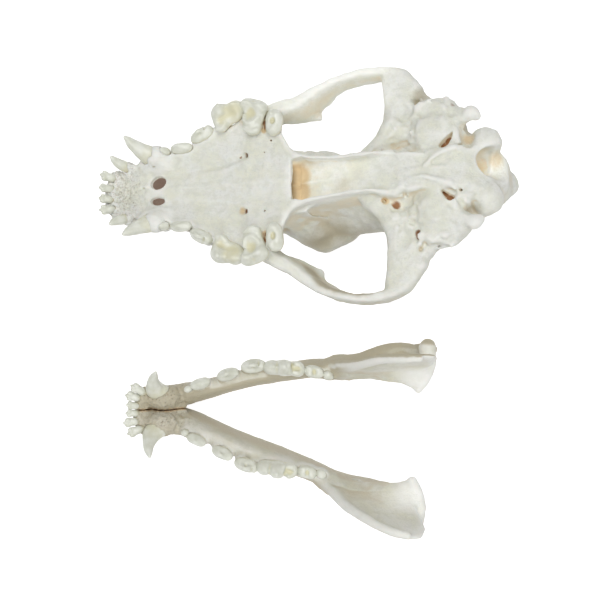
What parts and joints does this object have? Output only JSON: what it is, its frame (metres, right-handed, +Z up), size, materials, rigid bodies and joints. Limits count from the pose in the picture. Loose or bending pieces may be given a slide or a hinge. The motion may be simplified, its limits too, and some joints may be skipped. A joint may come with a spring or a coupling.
{
  "type": "dog skull",
  "caption": "Bleached dog skull laid out in two parts: the cranium resting on its roof, palate up, and the lower jaw in two halves beside it, teeth up.",
  "frame": {"origin": "centre of the bounding box on the floor the bones rest on", "axes": "+X from the muzzle towards the back of the head, +Y across both pieces from the lower jaw to the cranium, +Z up; the palate and the jaw's tooth row face +Z"},
  "size_m": [0.1982, 0.2136, 0.0829],
  "materials": {
    "cranium_bone": "matt bleached bone",
    "jaw_bone": "matt cream bone",
    "enamel": "satin enamel"
  },
  "bodies": {
    "root": {"cranium": "cranium_bone", "mandible_left": "jaw_bone", "mandible_right": "jaw_bone", "upper_i1_left": "enamel", "upper_i1_right": "enamel", "upper_i2_left": "enamel", "upper_i2_right": "enamel", "upper_i3_left": "enamel", "upper_i3_right": "enamel", "upper_canine_left": "enamel", "upper_canine_right": "enamel", "upper_p1_left": "enamel", "upper_p1_right": "enamel", "upper_p2_left": "enamel", "upper_p2_right": "enamel", "upper_p3_left": "enamel", "upper_p3_right": "enamel", "upper_p4_left": "enamel", "upper_p4_right": "enamel", "upper_m1_left": "enamel", "upper_m1_right": "enamel", "upper_m2_left": "enamel", "upper_m2_right": "enamel", "lower_i1_left": "enamel", "lower_i1_right": "enamel", "lower_i2_left": "enamel", "lower_i2_right": "enamel", "lower_i3_left": "enamel", "lower_i3_right": "enamel", "lower_canine_left": "enamel", "lower_canine_right": "enamel", "lower_p1_left": "enamel", "lower_p1_right": "enamel", "lower_p2_left": "enamel", "lower_p2_right": "enamel", "lower_p3_left": "enamel", "lower_p3_right": "enamel", "lower_p4_left": "enamel", "lower_p4_right": "enamel", "lower_m1_left": "enamel", "lower_m1_right": "enamel", "lower_m2_left": "enamel", "lower_m2_right": "enamel", "lower_m3_left": "enamel", "lower_m3_right": "enamel"}
  },
  "joints": []
}
